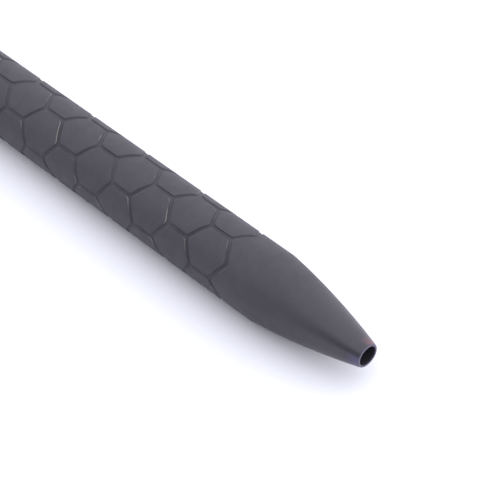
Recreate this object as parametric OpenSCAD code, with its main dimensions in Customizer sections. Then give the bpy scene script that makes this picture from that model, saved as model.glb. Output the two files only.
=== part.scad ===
// Bolt-action ballpoint pen with a honeycomb barrel, lying on its barrel and its clip.
// Millimetres. +X is the nose, +Z is up, and the pen rests on z = 0.

/* [Barrel] */
// Outer diameter of the barrel
barrel_d = 9.5; // [9.5:0.1:11]
// Length of the barrel, from its mouth to its joint with the tail cap
barrel_len = 129.5; // [129:0.5:136]
// Outer diameter of the mouth's rim
rim_d = 3.25; // [3.1:0.05:3.6]
// Diameter of the mouth that the writing tip comes out of
mouth_d = 2.64; // [2.5:0.02:2.8]
// Length of the curved taper behind the mouth
taper_len = 16; // [15.5:0.5:18]
// Radius of the taper's long outward curve
taper_bulge_r = 103; // [90:1:200]

/* [Honeycomb] */
// Number of hexagons around the barrel
cells_around = 5; // [5:1:7]
// Number of rows of hexagons along the barrel, always odd
cell_rows = 11; // [3:2:11]
// Distance from the mouth to the first hexagon's front corner
honeycomb_start = 20.25; // [19:0.05:22]
// Width of the grooves between the hexagons
groove_w = 0.55; // [0.4:0.05:0.8]
// Depth of the grooves
groove_depth = 0.2; // [0.1:0.05:0.4]
// Turn of the first hexagon away from straight up
cell_phase = -48; // [-72:1:72]

/* [Bolt] */
// Distance that the bolt pushes the refill forward
bolt_travel = 6; // [5:0.25:6]
// Turn of the bolt into either side pocket of its slot
bolt_turn = 32; // [25:1:40]
// Diameter of the bolt's stem
stem_d = 3; // [2.6:0.1:3.2]
// Diameter of the bolt's knob
knob_d = 4.4; // [4:0.1:5]
// Distance from the pen's axis to the top of the knob
knob_top_r = 8.4; // [7.8:0.1:9.5]

/* [Clip] */
// Length of the clip in front of its foot
clip_arm_len = 29.5; // [24:0.5:32]
// Width of the pocket clip
clip_w = 5; // [4:0.1:6]
// Thickness of the clip's strip
clip_t = 1.2; // [1.1:0.05:1.3]
// Gap for cloth between the barrel and the clip's arm
clip_gap = 1; // [0.8:0.1:1.4]
// Distance from the pen's axis to the outside of the clip's lip
clip_lip_r = 8; // [7.7:0.1:9]

/* [Tail cap] */
// Length of the cap's outer head
cap_len = 6; // [5:0.5:8]
// Pitch of the cap's thread
thread_pitch = 0.75; // [0.7:0.05:1]

/* [Refill] */
// Overall length of the refill
refill_len = 98.1; // [97.5:0.1:98.5]
// Diameter of the refill's tube
refill_d = 6; // [5.8:0.05:6]
// Diameter of the rolling ball
ball_d = 1; // [0.7:0.1:1.2]

/* [Hidden] */
$fn = 96;
eps = 0.01;
slip = 0.05;            // radial clearance of parts that slide

// The mouth is station 0, and stations grow towards the tail.
barrel_r = barrel_d / 2;
total_len = barrel_len + cap_len;
nose_x = total_len / 2;

// Hollow inside the barrel
mouth_len = 6;          // length of the mouth's bore, up to the spring's seat
spring_bore_r = 2.45;
spring_bore_end = 11.8;
main_bore_r = 3.15;

// Refill, with its ball drawn back inside the mouth
ball_front = 2.3;
tip_r = 1.15;
tip_cone_len = 2.2;
tip_lip_t = 0.03;       // wall of the tip's lip, which closes in front of the ball's middle
tip_end = 12.2;
neck_r = 1.6;
shoulder_at = 18.3;     // front face of the tube, where the spring pushes
stub_r = 0.9;           // rear stub of the tip, held in the neck
ink_channel_r = 0.35;
tube_r = refill_d / 2;
tube_wall = 0.2;
tube_face_t = 0.25;
refill_end = ball_front + refill_len;
plug_head_len = 4;
plug_grip_len = 3;
ink_end = 76;
follower_len = 4;
neck_boss_len = 2.5;

// Bolt and plunger
stem_hole_r = stem_d / 2;
plunger_head_len = 9.1;  // plunger in front of the stem
plunger_tail_len = 9.5;  // and behind it
stem_station = refill_end + plunger_head_len;
stem_foot_r = 0.8;
knob_foot_r = barrel_r + 0.45;
knob_stub_r = 1;
plunger_r = main_bore_r - slip;
plunger_end = stem_station + plunger_tail_len;
plunger_ring_offset = 1;
ring_section_r = 0.35;
slot_w = stem_d + 0.2;
slot_step = 0.02;
slot_floor_r = plunger_r - 0.4;
slot_top_r = barrel_r + 1;
seat_len = 0.6;         // how far the front pocket runs back, to hold the bolt forward

// Clip: its foot is on a milled flat
clip_flat_r = barrel_r - 0.5;
clip_foot_front = stem_station - 0.5;
clip_front = clip_foot_front - clip_arm_len;
clip_foot_len = 12.5;
clip_arm_r = barrel_r + clip_gap;
clip_bump_r = barrel_r + 0.12;
clip_screw_stations = [for (offset = [3.3, 9.3]) clip_foot_front + offset];
clip_screw_r = 1;
clip_screw_head_r = 1.75;
clip_screw_head_t = 0.95;
clip_screw_bite = 0.9;
hex_key_r = 0.75;
hex_key_depth = 0.8;

// Resting pose: the barrel and one lip corner of the clip touch the surface
lip_corner_r = norm([clip_lip_r, clip_w / 2]);
lip_half_angle = atan(clip_w / 2 / clip_lip_r);
clip_from_down = acos(barrel_r / lip_corner_r) + lip_half_angle;
clip_angle = 180 + clip_from_down;
bolt_angle = clip_angle + 90;
axis_y = (lip_corner_r * sin(clip_from_down + lip_half_angle) - barrel_r) / 2;

// Tail cap
plug_front = barrel_len - 8;
thread_crest_r = 3.42;
thread_root_r = 3.15;
barrel_thread_crest_r = 3.52;
barrel_thread_root_r = 3.8;
thread_end = barrel_len - 1.7;
seal_bore_r = 4;
seal_bore_len = 1.6;
seal_r = 3.5;
seal_section_r = 0.45;
seal_station = barrel_len - 0.8;
cap_dome_rise = 1.2;
joint_chamfer = 0.3;    // on the barrel's rear edge and the cap's front edge, for a fine V between them
coin_slot_w = 1.3;
coin_slot_depth = 1.5;

// Spring
spring_r = 2.0;
wire_d = 0.4;
spring_coils = 8.5;
spring_clear = 0.02;
wire_sides = 6;
rings_per_coil = 16;

// Half of one cell's corner-to-corner length, on a cylinder of the barrel's radius
cell_half_angle = 180 / cells_around;
cell_side = 2 * PI * barrel_r / cells_around / sqrt(3);
row_pitch = 1.5 * cell_side;
first_row = honeycomb_start + cell_side;

// Puts a piece drawn along +Z (rearward), with +X up, on the pen's axis
module pen_frame() {
    translate([nose_x, axis_y, barrel_r]) rotate([0, -90, 0]) children();
}

// A cylinder along the axis from one station to another
module rod(r, from, to) {
    translate([0, 0, from]) cylinder(r = r, h = to - from);
}

// A cylinder that points away from the axis, at a station and an angle
module spoke(r, from, to, station, angle) {
    rotate([0, 0, angle]) translate([from, 0, station]) rotate([0, 90, 0]) cylinder(r = r, h = to - from);
}

module o_ring(mean_r, section_r, station) {
    translate([0, 0, station]) rotate_extrude() translate([mean_r, 0]) circle(r = section_r, $fn = 32);
}

// ---- Barrel ----

// Radius of the taper at a station: an arc from the rim's edge to the shoulder
rim_r = rim_d / 2;
taper_chord = norm([taper_len, barrel_r - rim_r]);
taper_slope = atan((barrel_r - rim_r) / taper_len);
taper_sweep = asin(taper_chord / 2 / taper_bulge_r);
taper_steps = 16;
taper_points = [for (i = [0 : taper_steps])
    let (turn = taper_slope + taper_sweep * (1 - 2 * i / taper_steps))
    [rim_r + taper_bulge_r * (cos(turn) - cos(taper_slope + taper_sweep)),
        taper_bulge_r * (sin(taper_slope + taper_sweep) - sin(turn))]];

module barrel_blank() {
    rotate_extrude() polygon(concat([[0, 0]], taper_points,
        [[barrel_r, barrel_len - joint_chamfer], [barrel_r - joint_chamfer, barrel_len], [0, barrel_len]]));
}

module barrel_bore() {
    rod(mouth_d / 2, -1, mouth_len + eps);
    rod(spring_bore_r, mouth_len, spring_bore_end + eps);
    rod(main_bore_r, spring_bore_end, barrel_len + 1);
    rod(barrel_thread_crest_r, plug_front - 0.5, barrel_len + 1);
    rod(seal_bore_r, barrel_len - seal_bore_len, barrel_len + 1);
    for (s = [plug_front : thread_pitch : thread_end - thread_pitch])
        thread_ring(barrel_thread_crest_r, barrel_thread_root_r, s);
}

// One turn of thread, as a ring with a pointed section
module thread_ring(from_r, to_r, station) {
    translate([0, 0, station]) rotate_extrude()
        polygon([[from_r - 0.1, 0], [from_r, 0], [to_r, thread_pitch / 2], [from_r, thread_pitch],
            [from_r - 0.1, thread_pitch]]);
}

// Hexagon in the plane that touches the barrel at the cell's middle
function cell_outline(grow) =
    let (half_w = barrel_r * sin(cell_half_angle),
        slant = norm([half_w, cell_side / 2]),
        tip = cell_side + grow * slant / half_w,
        side = tip - cell_side / 2 * (half_w + grow) / half_w)
    [[0, tip], [half_w + grow, side], [half_w + grow, -side],
        [0, -tip], [-half_w - grow, -side], [-half_w - grow, side]];

module cell_prism(grow, row, column) {
    rotate([0, 0, cell_phase + (2 * column + row % 2) * cell_half_angle])
        translate([barrel_r / 2, 0, first_row + row * row_pitch])
            rotate([90, 0, 90]) linear_extrude(barrel_r) polygon(cell_outline(grow));
}

module honeycomb_zone() {
    rod(barrel_r + 1, first_row, first_row + (cell_rows - 1) * row_pitch);
    for (row = [0, cell_rows - 1], column = [0 : cells_around - 1]) cell_prism(groove_w / 2, row, column);
}

module honeycomb_grooves() {
    difference() {
        intersection() {
            honeycomb_zone();
            difference() {
                rod(barrel_r + 0.5, honeycomb_start - 2, first_row + cell_rows * row_pitch);
                rod(barrel_r - groove_depth, honeycomb_start - 3, first_row + (cell_rows + 1) * row_pitch);
            }
        }
        for (row = [0 : cell_rows - 1], column = [0 : cells_around - 1])
            cell_prism(-groove_w / 2, row, column);
    }
}

// Slot that turns aside at both ends, and runs back a little at the front. Its straight cuts are a hair
// narrower than its round ends, so that the two cross instead of only touching.
module bolt_slot() {
    front = stem_station - bolt_travel;
    for (s = [front, stem_station], turn = [0, bolt_turn])
        spoke(slot_w / 2, slot_floor_r, slot_top_r, s, bolt_angle + turn);
    spoke(slot_w / 2, slot_floor_r, slot_top_r, front + seat_len, bolt_angle + bolt_turn);
    for (s = [front, stem_station]) slot_turn(s);
    slot_run(front, stem_station, bolt_angle);
    slot_run(front, front + seat_len, bolt_angle + bolt_turn);
}

module slot_turn(station) {
    rotate([0, 0, bolt_angle]) translate([0, 0, station - slot_w / 2 + slot_step])
        rotate_extrude(angle = bolt_turn) translate([slot_floor_r + 0.1, 0])
            square([barrel_r, slot_w - 2 * slot_step]);
}

module slot_run(from, to, angle) {
    rotate([0, 0, angle]) translate([slot_floor_r - 0.1, -slot_w / 2 + slot_step, from])
        cube([barrel_r, slot_w - 2 * slot_step, to - from]);
}

module clip_seat() {
    rotate([0, 0, clip_angle]) translate([clip_flat_r, -barrel_r, clip_foot_front])
        cube([barrel_r, barrel_d, clip_foot_len]);
    for (s = clip_screw_stations) spoke(clip_screw_r, clip_flat_r - clip_screw_bite, barrel_r, s, clip_angle);
}

module barrel() {
    color([0.36, 0.35, 0.38]) pen_frame() difference() {
        barrel_blank();
        barrel_bore();
        honeycomb_grooves();
        bolt_slot();
        clip_seat();
    }
}

// ---- Clip ----

// Side view of the strip: distance from the axis, then station
function clip_side() =
    let (top = clip_flat_r + clip_t, arm_top = clip_arm_r + clip_t,
        foot_end = clip_foot_front + clip_foot_len)
    [[clip_flat_r, foot_end], [clip_flat_r, clip_foot_front], [clip_arm_r, clip_foot_front - 3],
        [clip_arm_r, clip_front + 8], [clip_bump_r, clip_front + 4.6], [clip_bump_r, clip_front + 3.2],
        [clip_lip_r - clip_t, clip_front], [clip_lip_r, clip_front], [clip_bump_r + clip_t, clip_front + 4],
        [arm_top, clip_front + 7.6], [arm_top, clip_foot_front - 2.4], [top, clip_foot_front + 0.6],
        [top, foot_end]];

module pocket_clip() {
    color([0.42, 0.41, 0.44]) pen_frame() difference() {
        rotate([0, 0, clip_angle]) translate([0, clip_w / 2, 0]) rotate([90, 0, 0])
            linear_extrude(clip_w) polygon(clip_side());
        for (s = clip_screw_stations) {
            spoke(clip_screw_r + slip, clip_flat_r - 1, clip_lip_r, s, clip_angle);
            spoke(clip_screw_head_r + slip, clip_flat_r + clip_t - clip_screw_head_t, clip_lip_r,
                s, clip_angle);
        }
    }
}

module clip_screw(station) {
    top = clip_flat_r + clip_t;
    color([0.55, 0.55, 0.57]) pen_frame() difference() {
        union() {
            spoke(clip_screw_r, clip_flat_r - clip_screw_bite, top, station, clip_angle);
            spoke(clip_screw_head_r, top - clip_screw_head_t, top + slip, station, clip_angle);
        }
        rotate([0, 0, clip_angle]) translate([top - hex_key_depth, 0, station]) rotate([0, 90, 0])
            cylinder(r = hex_key_r, h = 2, $fn = 6);
    }
}

// ---- Tail cap ----

module tail_cap() {
    end = barrel_len + cap_len;
    color([0.36, 0.35, 0.38]) pen_frame() difference() {
        union() {
            rod(thread_root_r, plug_front, barrel_len + eps);
            for (s = [plug_front + thread_pitch / 2 : thread_pitch : thread_end - thread_pitch])
                thread_ring(thread_root_r, thread_crest_r, s);
            rod(seal_bore_r - slip, barrel_len - 0.3, barrel_len + eps);
            rotate_extrude() polygon([[0, barrel_len], [barrel_r - joint_chamfer, barrel_len],
                [barrel_r, barrel_len + joint_chamfer], [barrel_r, end - cap_dome_rise - 0.8],
                [barrel_r - 0.35, end - cap_dome_rise], [barrel_r - 1.3, end - cap_dome_rise / 3],
                [barrel_r - 2.6, end - 0.05], [0, end]]);
        }
        translate([-barrel_r, -coin_slot_w / 2, end - coin_slot_depth])
            cube([barrel_d, coin_slot_w, coin_slot_depth + 1]);
        difference() {
            rod(seal_bore_r, seal_station - seal_section_r - slip, seal_station + seal_section_r + slip);
            rod(seal_r - seal_section_r - slip, seal_station - 1, seal_station + 1);
        }
    }
}

module tail_cap_o_ring() {
    color([0.08, 0.08, 0.08]) pen_frame() o_ring(seal_r, seal_section_r, seal_station);
}

// ---- Bolt ----

plunger_ring_stations = [refill_end + plunger_ring_offset, plunger_end - plunger_ring_offset];

module bolt_plunger() {
    color([0.78, 0.66, 0.36]) pen_frame() difference() {
        rod(plunger_r, refill_end, plunger_end);
        spoke(stem_hole_r, stem_foot_r, barrel_r, stem_station, bolt_angle);
        for (s = plunger_ring_stations) difference() {
            rod(plunger_r + 1, s - ring_section_r, s + ring_section_r);
            rod(plunger_r - 2 * ring_section_r, s - 1, s + 1);
        }
    }
}

module plunger_o_ring(station) {
    color([0.08, 0.08, 0.08]) pen_frame() o_ring(plunger_r - ring_section_r, ring_section_r, station);
}

module bolt_stem() {
    color([0.6, 0.6, 0.62]) pen_frame() {
        spoke(stem_hole_r, stem_foot_r, knob_foot_r, stem_station, bolt_angle);
        spoke(knob_stub_r, knob_foot_r - eps, knob_top_r - 1, stem_station, bolt_angle);
    }
}

// Turned knob: a plain collar, a waisted grip and a low domed top
module bolt_knob() {
    knob_r = knob_d / 2;
    h = knob_top_r - knob_foot_r;
    color([0.36, 0.35, 0.38]) pen_frame() rotate([0, 0, bolt_angle])
        translate([knob_foot_r, 0, stem_station]) rotate([0, 90, 0]) difference() {
            rotate_extrude() polygon([[0, 0], [knob_r - 0.25, 0], [knob_r, 0.25], [knob_r, 0.7],
                [knob_r - 0.3, 1], [knob_r - 0.3, 1.25], [knob_r, 1.5], [knob_r, h - 0.5],
                [knob_r - 0.25, h - 0.2], [knob_r - 0.8, h - 0.06], [0, h]]);
            translate([0, 0, -1]) cylinder(r = knob_stub_r, h = h);
        }
}

// ---- Refill and spring ----

module refill_ball() {
    color([0.7, 0.7, 0.72]) pen_frame() translate([0, 0, ball_front + ball_d / 2]) sphere(d = ball_d);
}

module refill_tip() {
    lip = ball_front + ball_d * 0.35;
    color([0.8, 0.72, 0.5]) pen_frame() difference() {
        union() {
            rotate_extrude() polygon([[0, lip], [ball_d / 2 + tip_lip_t, lip],
                [tip_r - 0.25, lip + tip_cone_len], [tip_r, lip + tip_cone_len + 0.2],
                [tip_r, tip_end], [0, tip_end]]);
            rod(stub_r, tip_end - eps, tip_end + 3);
        }
        translate([0, 0, ball_front + ball_d / 2]) sphere(d = ball_d + 0.02);
        rod(ink_channel_r, ball_front + ball_d / 2, tip_end + 4);
    }
}

module refill_neck() {
    color([0.75, 0.75, 0.77]) pen_frame() difference() {
        union() {
            rod(neck_r, tip_end, shoulder_at + tube_face_t + eps);
            rod(tube_r - tube_wall, shoulder_at + tube_face_t, shoulder_at + tube_face_t + neck_boss_len);
        }
        rod(stub_r, tip_end - 1, tip_end + 3);
        rod(ink_channel_r, tip_end, shoulder_at + 5);
    }
}

module refill_tube() {
    color([0.72, 0.72, 0.74]) pen_frame() difference() {
        rod(tube_r, shoulder_at, refill_end - plug_head_len);
        rod(tube_r - tube_wall, shoulder_at + tube_face_t, refill_end);
        rod(neck_r, shoulder_at - 1, shoulder_at + 1);
    }
}

module refill_ink() {
    color([0.05, 0.06, 0.2]) pen_frame()
        rod(tube_r - tube_wall, shoulder_at + tube_face_t + neck_boss_len, ink_end);
}

module refill_follower() {
    color([0.85, 0.82, 0.7]) pen_frame() rod(tube_r - tube_wall, ink_end, ink_end + follower_len);
}

// Rear plug with cross slots in its head and an air hole through it
module refill_end_plug() {
    head = refill_end - plug_head_len;
    color([0.15, 0.15, 0.16]) pen_frame() difference() {
        union() {
            rod(tube_r, head, refill_end);
            rod(tube_r - tube_wall, head - plug_grip_len, head + eps);
        }
        rod(0.5, head - plug_grip_len - 1, refill_end + 1);
        for (turn = [0, 90]) rotate([0, 0, turn])
            translate([-tube_r - 1, -0.5, refill_end - 2]) cube([refill_d + 2, 1, 3]);
    }
}

// Wire swept along a helix between the seat in the nose and the refill's shoulder
spring_rings = round(spring_coils * rings_per_coil);
spring_free = shoulder_at - mouth_len - wire_d - 2 * spring_clear;
spring_points = [for (i = [0 : spring_rings], j = [0 : wire_sides - 1])
    let (turn = 360 * i / rings_per_coil,
        station = mouth_len + spring_clear + wire_d / 2 + spring_free * i / spring_rings,
        side = 360 * j / wire_sides,
        r = spring_r + wire_d / 2 * cos(side))
    [r * cos(turn), r * sin(turn), station + wire_d / 2 * sin(side)]];
function spring_index(i, j) = i * wire_sides + j % wire_sides;
spring_faces = concat(
    [[for (j = [wire_sides - 1 : -1 : 0]) j]],
    [for (i = [0 : spring_rings - 1], j = [0 : wire_sides - 1])
        [spring_index(i, j), spring_index(i, j + 1), spring_index(i + 1, j + 1), spring_index(i + 1, j)]],
    [[for (j = [0 : wire_sides - 1]) spring_index(spring_rings, j)]]);

module return_spring() {
    color([0.7, 0.7, 0.72]) pen_frame() polyhedron(points = spring_points, faces = spring_faces);
}

barrel();
pocket_clip();
clip_screw(clip_screw_stations[0]);  // clip_screw_front
clip_screw(clip_screw_stations[1]);  // clip_screw_rear
tail_cap();
tail_cap_o_ring();
bolt_plunger();
plunger_o_ring(plunger_ring_stations[0]);  // plunger_o_ring_front
plunger_o_ring(plunger_ring_stations[1]);  // plunger_o_ring_rear
bolt_stem();
bolt_knob();
return_spring();
refill_tube();
refill_neck();
refill_tip();
refill_ball();
refill_ink();
refill_follower();
refill_end_plug();
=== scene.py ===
"""Bolt-action ballpoint pen with a honeycomb barrel: its visual model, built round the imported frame."""
from math import (acos, asin, atan2, ceil, cos, degrees, dist, exp, floor, hypot, pi, radians, sin, sqrt,
                  tau)

import bmesh
import bpy
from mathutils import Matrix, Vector, geometry


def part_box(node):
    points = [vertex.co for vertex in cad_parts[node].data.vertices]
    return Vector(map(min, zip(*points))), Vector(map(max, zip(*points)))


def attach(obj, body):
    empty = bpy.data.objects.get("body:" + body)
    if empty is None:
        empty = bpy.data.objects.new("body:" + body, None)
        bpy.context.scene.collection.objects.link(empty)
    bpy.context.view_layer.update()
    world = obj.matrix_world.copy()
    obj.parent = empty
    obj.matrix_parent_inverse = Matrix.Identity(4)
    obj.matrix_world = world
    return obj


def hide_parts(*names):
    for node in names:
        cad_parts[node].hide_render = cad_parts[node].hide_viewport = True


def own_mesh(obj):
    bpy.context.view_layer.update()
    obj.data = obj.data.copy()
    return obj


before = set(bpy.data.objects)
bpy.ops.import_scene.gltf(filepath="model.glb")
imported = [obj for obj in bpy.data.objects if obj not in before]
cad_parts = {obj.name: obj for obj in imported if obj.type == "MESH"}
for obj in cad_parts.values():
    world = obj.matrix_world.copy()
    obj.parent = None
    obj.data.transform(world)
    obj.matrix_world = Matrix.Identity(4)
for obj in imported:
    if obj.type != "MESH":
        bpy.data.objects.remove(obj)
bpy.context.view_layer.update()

# Meshes are made in millimetres and scaled to metres at the end. Places on the pen are given as a
# station behind the mouth, a distance from the axis, and an angle from straight up towards +Y.
MM = 0.001

# ---- Sizes taken from the frame ----
barrel_low, barrel_high = (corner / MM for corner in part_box("barrel"))
NOSE_X = barrel_high.x
BARREL_LEN = barrel_high.x - barrel_low.x
BARREL_R = round((barrel_high.z - barrel_low.z) / 2, 2)
AXIS_Y = (barrel_low.y + barrel_high.y) / 2
AXIS_Z = (barrel_low.z + barrel_high.z) / 2


def span(name):
    """Where a node begins and ends along the pen, as stations behind the mouth."""
    low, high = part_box(name)
    return NOSE_X - high.x / MM, NOSE_X - low.x / MM


STEM_STATION = sum(span("bolt_stem")) / 2
PLUG_FRONT, TOTAL_LEN = span("tail_cap")
PLUNGER_FRONT, PLUNGER_END = span("bolt_plunger")
BALL_FRONT = span("refill_ball")[0]
NECK_FRONT = span("refill_neck")[0]
SHOULDER, TUBE_END = span("refill_tube")
REFILL_END = span("refill_end_plug")[1]
CLIP_FRONT = span("pocket_clip")[0]

# ---- Barrel ----
AROUND = 120  # points round every full ring of the barrel and cap
RIM_R = 1.625
RIM_ROUND = 0.14
MOUTH_R = 1.32
MOUTH_CHAMFER = 0.04
TAPER_LEN = 16.0
TAPER_BULGE_R = 103.0
SHOULDER_BLEND = 0.012  # how softly the taper runs into the straight barrel
MOUTH_LEN = 6.0
SPRING_BORE_R = 2.45
SPRING_BORE_END = 11.8
BORE_STEP = 0.3  # the cone from the spring's bore to the main bore
MAIN_BORE_R = 3.15
MAIN_BORE_END = BARREL_LEN - 8.5

CELLS_AROUND = 5
CELL_ROWS = 11
CELL_PHASE = -48.0
HONEYCOMB_START = 20.25
SMOOTH_BAND = 1.3  # between the honeycomb and the plain barrel, at both ends
CELL_APOTHEM = pi * BARREL_R / CELLS_AROUND
CELL_SIDE = 2 * CELL_APOTHEM / sqrt(3)
SIDE_STEPS = AROUND // (2 * CELLS_AROUND)
CORNER_POWER = 34  # higher is a sharper corner
GROOVE_DEPTH = 0.2
# Distance from a groove's middle, and share of its full depth there
GROOVE_PROFILE = [(0, 1), (0.12, 0.99), (0.18, 0.93), (0.215, 0.8), (0.24, 0.62), (0.26, 0.42),
                  (0.285, 0.22), (0.32, 0.08), (0.365, 0.015), (0.41, 0)]
GROOVE_HALF_W = GROOVE_PROFILE[-1][0]
LAND_RINGS = [0.85, 0.66, 0.46, 0.24]
WINDOW_MARGIN = 0.5  # from a hole's edge to the barrel's own quads
WINDOW_GAP = 0.16  # from a hole's edge to the nearest loose point inside that margin

# ---- Slot, clip and screws ----
CLIP_W = 5.0
CLIP_T = 1.2
CLIP_EDGE = 0.22
CLIP_LIP_R = 8.0
LIP_CORNER_R = hypot(CLIP_LIP_R, CLIP_W / 2)
LIP_HALF_ANGLE = degrees(atan2(CLIP_W / 2, CLIP_LIP_R))
CLIP_ANGLE = 180 + degrees(acos(BARREL_R / LIP_CORNER_R)) + LIP_HALF_ANGLE
CLIP_FLAT_R = BARREL_R - 0.5
CLIP_TOP_R = CLIP_FLAT_R + CLIP_T
CLIP_FOOT_FRONT = STEM_STATION - 0.5
CLIP_FOOT_END = CLIP_FOOT_FRONT + 12.5
CLIP_SCREWS = {"front": CLIP_FOOT_FRONT + 3.3, "rear": CLIP_FOOT_FRONT + 9.3}
BOLT_ANGLE = CLIP_ANGLE + 90
BOLT_TURN = 32.0
BOLT_TRAVEL = 6.0
SEAT_LEN = 0.6
STEM_R = 1.5
SLOT_HALF_W = STEM_R + 0.1
SLOT_EDGE = [(0.2, 0), (0.08, 0.03), (0.02, 0.09), (0, 0.2)]  # how far out, and how far down
SLOT_STEP = 0.22
SCREW_R = 1.0
SCREW_ROOT_R = SCREW_R - 0.16
SCREW_HEAD_R = 1.75
SCREW_HEAD_T = 0.95
SCREW_BITE = 0.9
SCREW_PITCH = 0.4
SCREW_FIT = 0.05  # clearance round a screw and its head
HEX_R = 0.75
KNOB_R = 2.2
KNOB_FOOT_R = 5.2
KNOB_TOP_R = 8.4
KNOB_BORE_R = 1.0
KNOB_BORE_TOP = KNOB_TOP_R - 1
FLUTES = 20
STEM_FOOT_R = 0.8
STEM_ROOT_R = STEM_R - 0.14
STEM_PITCH = 0.5

# ---- Tail cap, plunger and refill ----
THREAD_PITCH = 0.75
THREAD_ROOT_R = 3.15
THREAD_CREST_R = 3.42
THREAD_FIT = 0.37  # how much wider the barrel's own thread is
THREAD_END = BARREL_LEN - 1.7
JOINT_CHAMFER = 0.3
SEAL_BORE_R = 4.0
SEAL_FRONT, SEAL_BACK = BARREL_LEN - 1.3, BARREL_LEN - 0.3
DOME_LEN = 1.9
COIN_SLOT_HALF_W = 0.65
COIN_SLOT_DEPTH = 1.5
PLUNGER_R = 3.1
PLUNGER_CHAMFER = 0.3
PLUNGER_RING_OFFSET = 1.0
PLUNGER_CLEARANCE = 0.01  # between the refill's end and the plunger, which turns against it
PLUNGER_GROOVE = (0.35, 0.7)  # half width and depth
TUBE_R = 3.0
TUBE_BORE_R = 2.8
TUBE_FACE_BACK = SHOULDER + 0.25
NECK_R = 1.6
STUB_R = 0.9
STUB_END = NECK_FRONT + 3
TIP_R = 1.15
INK_CHANNEL_R = 0.35
MARK_DEPTH = 0.08  # the turned rings on the refill's tip and neck
PLUG_HOLE_R = 0.5
PLUG_SLOT_HALF_W = 0.5
PLUG_SLOT_DEPTH = 2.0
SPRING_R = 2.0
WIRE_R = 0.2
SPRING_GAP = 0.02
OPEN_TURNS = 7.5
CLOSED_TURNS = 1.0

# ---- Mesh helpers ----
SAME_PLACE = 0.002  # vertices closer than this are one


def from_angle(angle, radial, sideways, station):
    """A point given by its distance out along one angle and its distance sideways from it."""
    turn = radians(angle)
    out, side = Vector((0, sin(turn), cos(turn))), Vector((0, cos(turn), -sin(turn)))
    return Vector((NOSE_X - station, AXIS_Y, AXIS_Z)) + out * radial + side * sideways


def place(station, radius, angle):
    return from_angle(angle, radius, 0, station)


def spoke_place(station, angle):
    """Like place, but round a line that points away from the axis at a station and an angle."""
    def put(height, radius, around):
        turn = radians(around)
        return from_angle(angle, height, radius * sin(turn), station + radius * cos(turn))
    return put


def steps(first, last, count):
    return [first + (last - first) * i / count for i in range(count + 1)]


def ring_angles(count=AROUND, start=CELL_PHASE):
    return [start + 360 * i / count for i in range(count)]


def add_ring(mesh, along, radius, angles=None, put=place):
    """New vertices, only one where the radius is 0. The radius may be a function of the angle."""
    if radius == 0:
        return [mesh.verts.new(put(along, 0, 0))]
    return [mesh.verts.new(put(along, radius(angle) if callable(radius) else radius, angle))
            for angle in angles or ring_angles()]


def join_rings(mesh, first, second, skip=()):
    """Faces between two rings, which may share vertices. One of them may be a single vertex."""
    count = max(len(first), len(second))
    first, second = (ring * (count // len(ring)) for ring in (first, second))
    for i in range(count):
        j = (i + 1) % count
        corners = tuple(dict.fromkeys((first[i], first[j], second[j], second[i])))
        if i not in skip and len(corners) > 2:
            mesh.faces.new(corners)


def join_in_turn(mesh, rings):
    for first, second in zip(rings, rings[1:]):
        join_rings(mesh, first, second)


def join_solid(mesh, rings):
    """Rings joined in turn, with a face over either end."""
    join_in_turn(mesh, rings)
    mesh.faces.new(rings[0])
    mesh.faces.new(rings[-1])


def revolve(mesh, outline, angles=None, closed=False, put=place):
    """Rings at each (distance along, radius) of an outline, joined in turn."""
    rings = [add_ring(mesh, along, radius, angles, put) for along, radius in outline]
    join_in_turn(mesh, rings + rings[:1] if closed else rings)
    return rings


def turned(outline, count, start=CELL_PHASE, closed=False, put=place):
    """A new mesh that is one outline turned round."""
    mesh = bmesh.new()
    revolve(mesh, outline, ring_angles(count, start), closed, put)
    return mesh


def rounded(corner, before, after, size, count):
    """Points of an arc that takes the place of a corner of an outline."""
    corner, before, after = Vector(corner), Vector(before), Vector(after)
    start = corner + (before - corner).normalized() * size
    end = corner + (after - corner).normalized() * size
    return [tuple(start.lerp(corner, t).lerp(corner.lerp(end, t), t)) for t in steps(0, 1, count)]


def soften(outline, size):
    """Rounds every corner between the first and last points of an outline."""
    result = [outline[0]]
    for before, corner, after in zip(outline, outline[1:], outline[2:]):
        limit = min(dist(corner, before), dist(corner, after)) * 0.45
        result += rounded(corner, before, after, min(size, limit), 3)
    return result + [outline[-1]]


def ring_groove(front, back, radius, depth, slope=0):
    """The points of a groove round a turned part."""
    floor_r = radius - depth
    return [(front, radius), (front + slope, floor_r), (back - slope, floor_r), (back, radius)]


def slot_cutter(angle, half_w, first, last):
    """A closed box right across the pen along one angle, between two stations."""
    mesh = bmesh.new()
    reach = BARREL_R + 1
    corners = (-reach, -half_w), (reach, -half_w), (reach, half_w), (-reach, half_w)
    ends = [[from_angle(angle, *corner, station) for corner in corners] for station in (first, last)]
    join_solid(mesh, [[mesh.verts.new(point) for point in end] for end in ends])
    return mesh


def add_object(name, data):
    made = bpy.data.objects.new(name, data)
    bpy.context.scene.collection.objects.link(made)
    return made


def add_mesh_object(name, mesh):
    """An object of a mesh, which is used up."""
    data = bpy.data.meshes.new(name)
    mesh.to_mesh(data)
    mesh.free()
    return add_object(name, data)


def face_outwards(mesh):
    bmesh.ops.recalc_face_normals(mesh, faces=mesh.faces)


def cut_from(mesh, cutters):
    """Cuts closed meshes out of a closed mesh and returns the result. All are used up."""
    made = []
    for source in [mesh, *cutters]:
        face_outwards(source)
        made.append(add_mesh_object("cut", source))
    for cutter in made[1:]:
        cut = made[0].modifiers.new("cut", "BOOLEAN")
        cut.operation, cut.solver, cut.object = "DIFFERENCE", "EXACT", cutter
    evaluated = made[0].evaluated_get(bpy.context.evaluated_depsgraph_get())
    result = bmesh.new()
    result.from_mesh(evaluated.to_mesh())
    evaluated.to_mesh_clear()
    for thing in made:
        bpy.data.meshes.remove(thing.data)
    return result


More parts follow.
